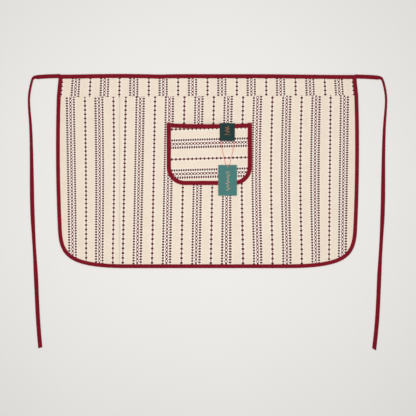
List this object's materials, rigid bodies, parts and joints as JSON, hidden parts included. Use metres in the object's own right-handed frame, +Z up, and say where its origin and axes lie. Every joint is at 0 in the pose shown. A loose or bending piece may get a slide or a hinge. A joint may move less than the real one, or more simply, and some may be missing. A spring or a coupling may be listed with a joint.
{
  "type": "half apron",
  "caption": "Half apron of striped cotton lying flat, with bound edges, two long tape ties, a bound patch pocket, a woven label and a card swing tag on a string.",
  "frame": {"origin": "middle of the apron between its side bindings and between waist edge and hem, on the surface it lies on; the ties don't count", "axes": "+X to the right across the apron's front, +Y towards the waist edge, +Z up out of the front"},
  "size_m": [0.9736, 0.7437, 0.0132],
  "materials": {
    "cotton": "striped dobby cotton",
    "binding": "folded cotton tape",
    "binding_thread": "sewing thread",
    "cream_thread": "sewing thread",
    "woven_label": "woven satin label",
    "label_thread": "sewing thread",
    "tag_card": "uncoated card",
    "string": "twisted cotton string"
  },
  "bodies": {
    "apron": {"main_panel": "cotton", "side_panel": "cotton", "waist_yoke": "cotton", "waist_binding": "binding", "edge_binding": "binding", "waist_stitching": "binding_thread", "edge_stitching": "binding_thread", "yoke_stitching": "cream_thread", "panel_join_stitching": "cream_thread", "pocket_panel_lower": "cotton", "pocket_edge_binding": "binding", "pocket_stitching": "binding_thread", "pocket_bartacks": "binding_thread", "tag_string": "string"},
    "tie_left_root": {"tie_left_stub": "binding", "tie_left_stub_stitching": "binding_thread"},
    "tie_left_end": {"tie_left_tail": "binding", "tie_left_tail_stitching": "binding_thread"},
    "tie_right_root": {"tie_right_stub": "binding", "tie_right_stub_stitching": "binding_thread"},
    "tie_right_end": {"tie_right_tail": "binding", "tie_right_tail_stitching": "binding_thread"},
    "pocket_mouth": {"pocket_panel_upper": "cotton", "pocket_mouth_binding": "binding", "pocket_mouth_stitching": "binding_thread", "label_tab": "woven_label", "label_stitching": "label_thread"},
    "label_leaf": {"label_flap": "woven_label"},
    "tag_loop": {"tag_string_loop": "string"},
    "tag": {"swing_tag": "tag_card"}
  },
  "joints": [
    {"name": "tie_left_lift", "type": "hinge", "parent": "apron", "child": "tie_left_root", "pos_m": [-0.402, 0.2566, 0.0029], "axis": [0, 1, 0], "range_deg": [0, 180]},
    {"name": "tie_left_swing", "type": "hinge", "parent": "tie_left_root", "child": "tie_left_end", "pos_m": [-0.4695, 0.2526, 0.0008], "axis": [0, 0, -1], "range_deg": [0, 90]},
    {"name": "tie_right_lift", "type": "hinge", "parent": "apron", "child": "tie_right_root", "pos_m": [0.402, 0.2554, 0.0044], "axis": [0, -1, 0], "range_deg": [0, 180]},
    {"name": "tie_right_swing", "type": "hinge", "parent": "tie_right_root", "child": "tie_right_end", "pos_m": [0.4684, 0.2512, 0.0008], "axis": [0, 0, 1], "range_deg": [0, 90]},
    {"name": "pocket_mouth_open", "type": "hinge", "parent": "apron", "child": "pocket_mouth", "pos_m": [0.0052, 0.028, 0.0063], "axis": [1, 0, 0], "range_deg": [0, 15], "deforming": ["tag_string"]},
    {"name": "label_lift", "type": "hinge", "parent": "pocket_mouth", "child": "label_leaf", "pos_m": [0.0531, 0.1217, 0.01189], "axis": [-0.9976, 0, 0.069], "range_deg": [0, 150]},
    {"name": "tag_swing", "type": "hinge", "parent": "apron", "child": "tag_loop", "pos_m": [0.0544, 0.018, 0.008], "axis": [0, 0, 1], "range_deg": [-20, 20]},
    {"name": "tag_lift", "type": "hinge", "parent": "tag_loop", "child": "tag", "pos_m": [0.054, 0.0167, 0.0071], "axis": [-1, 0, 0], "range_deg": [0, 120], "deforming": ["tag_string_loop"]}
  ]
}
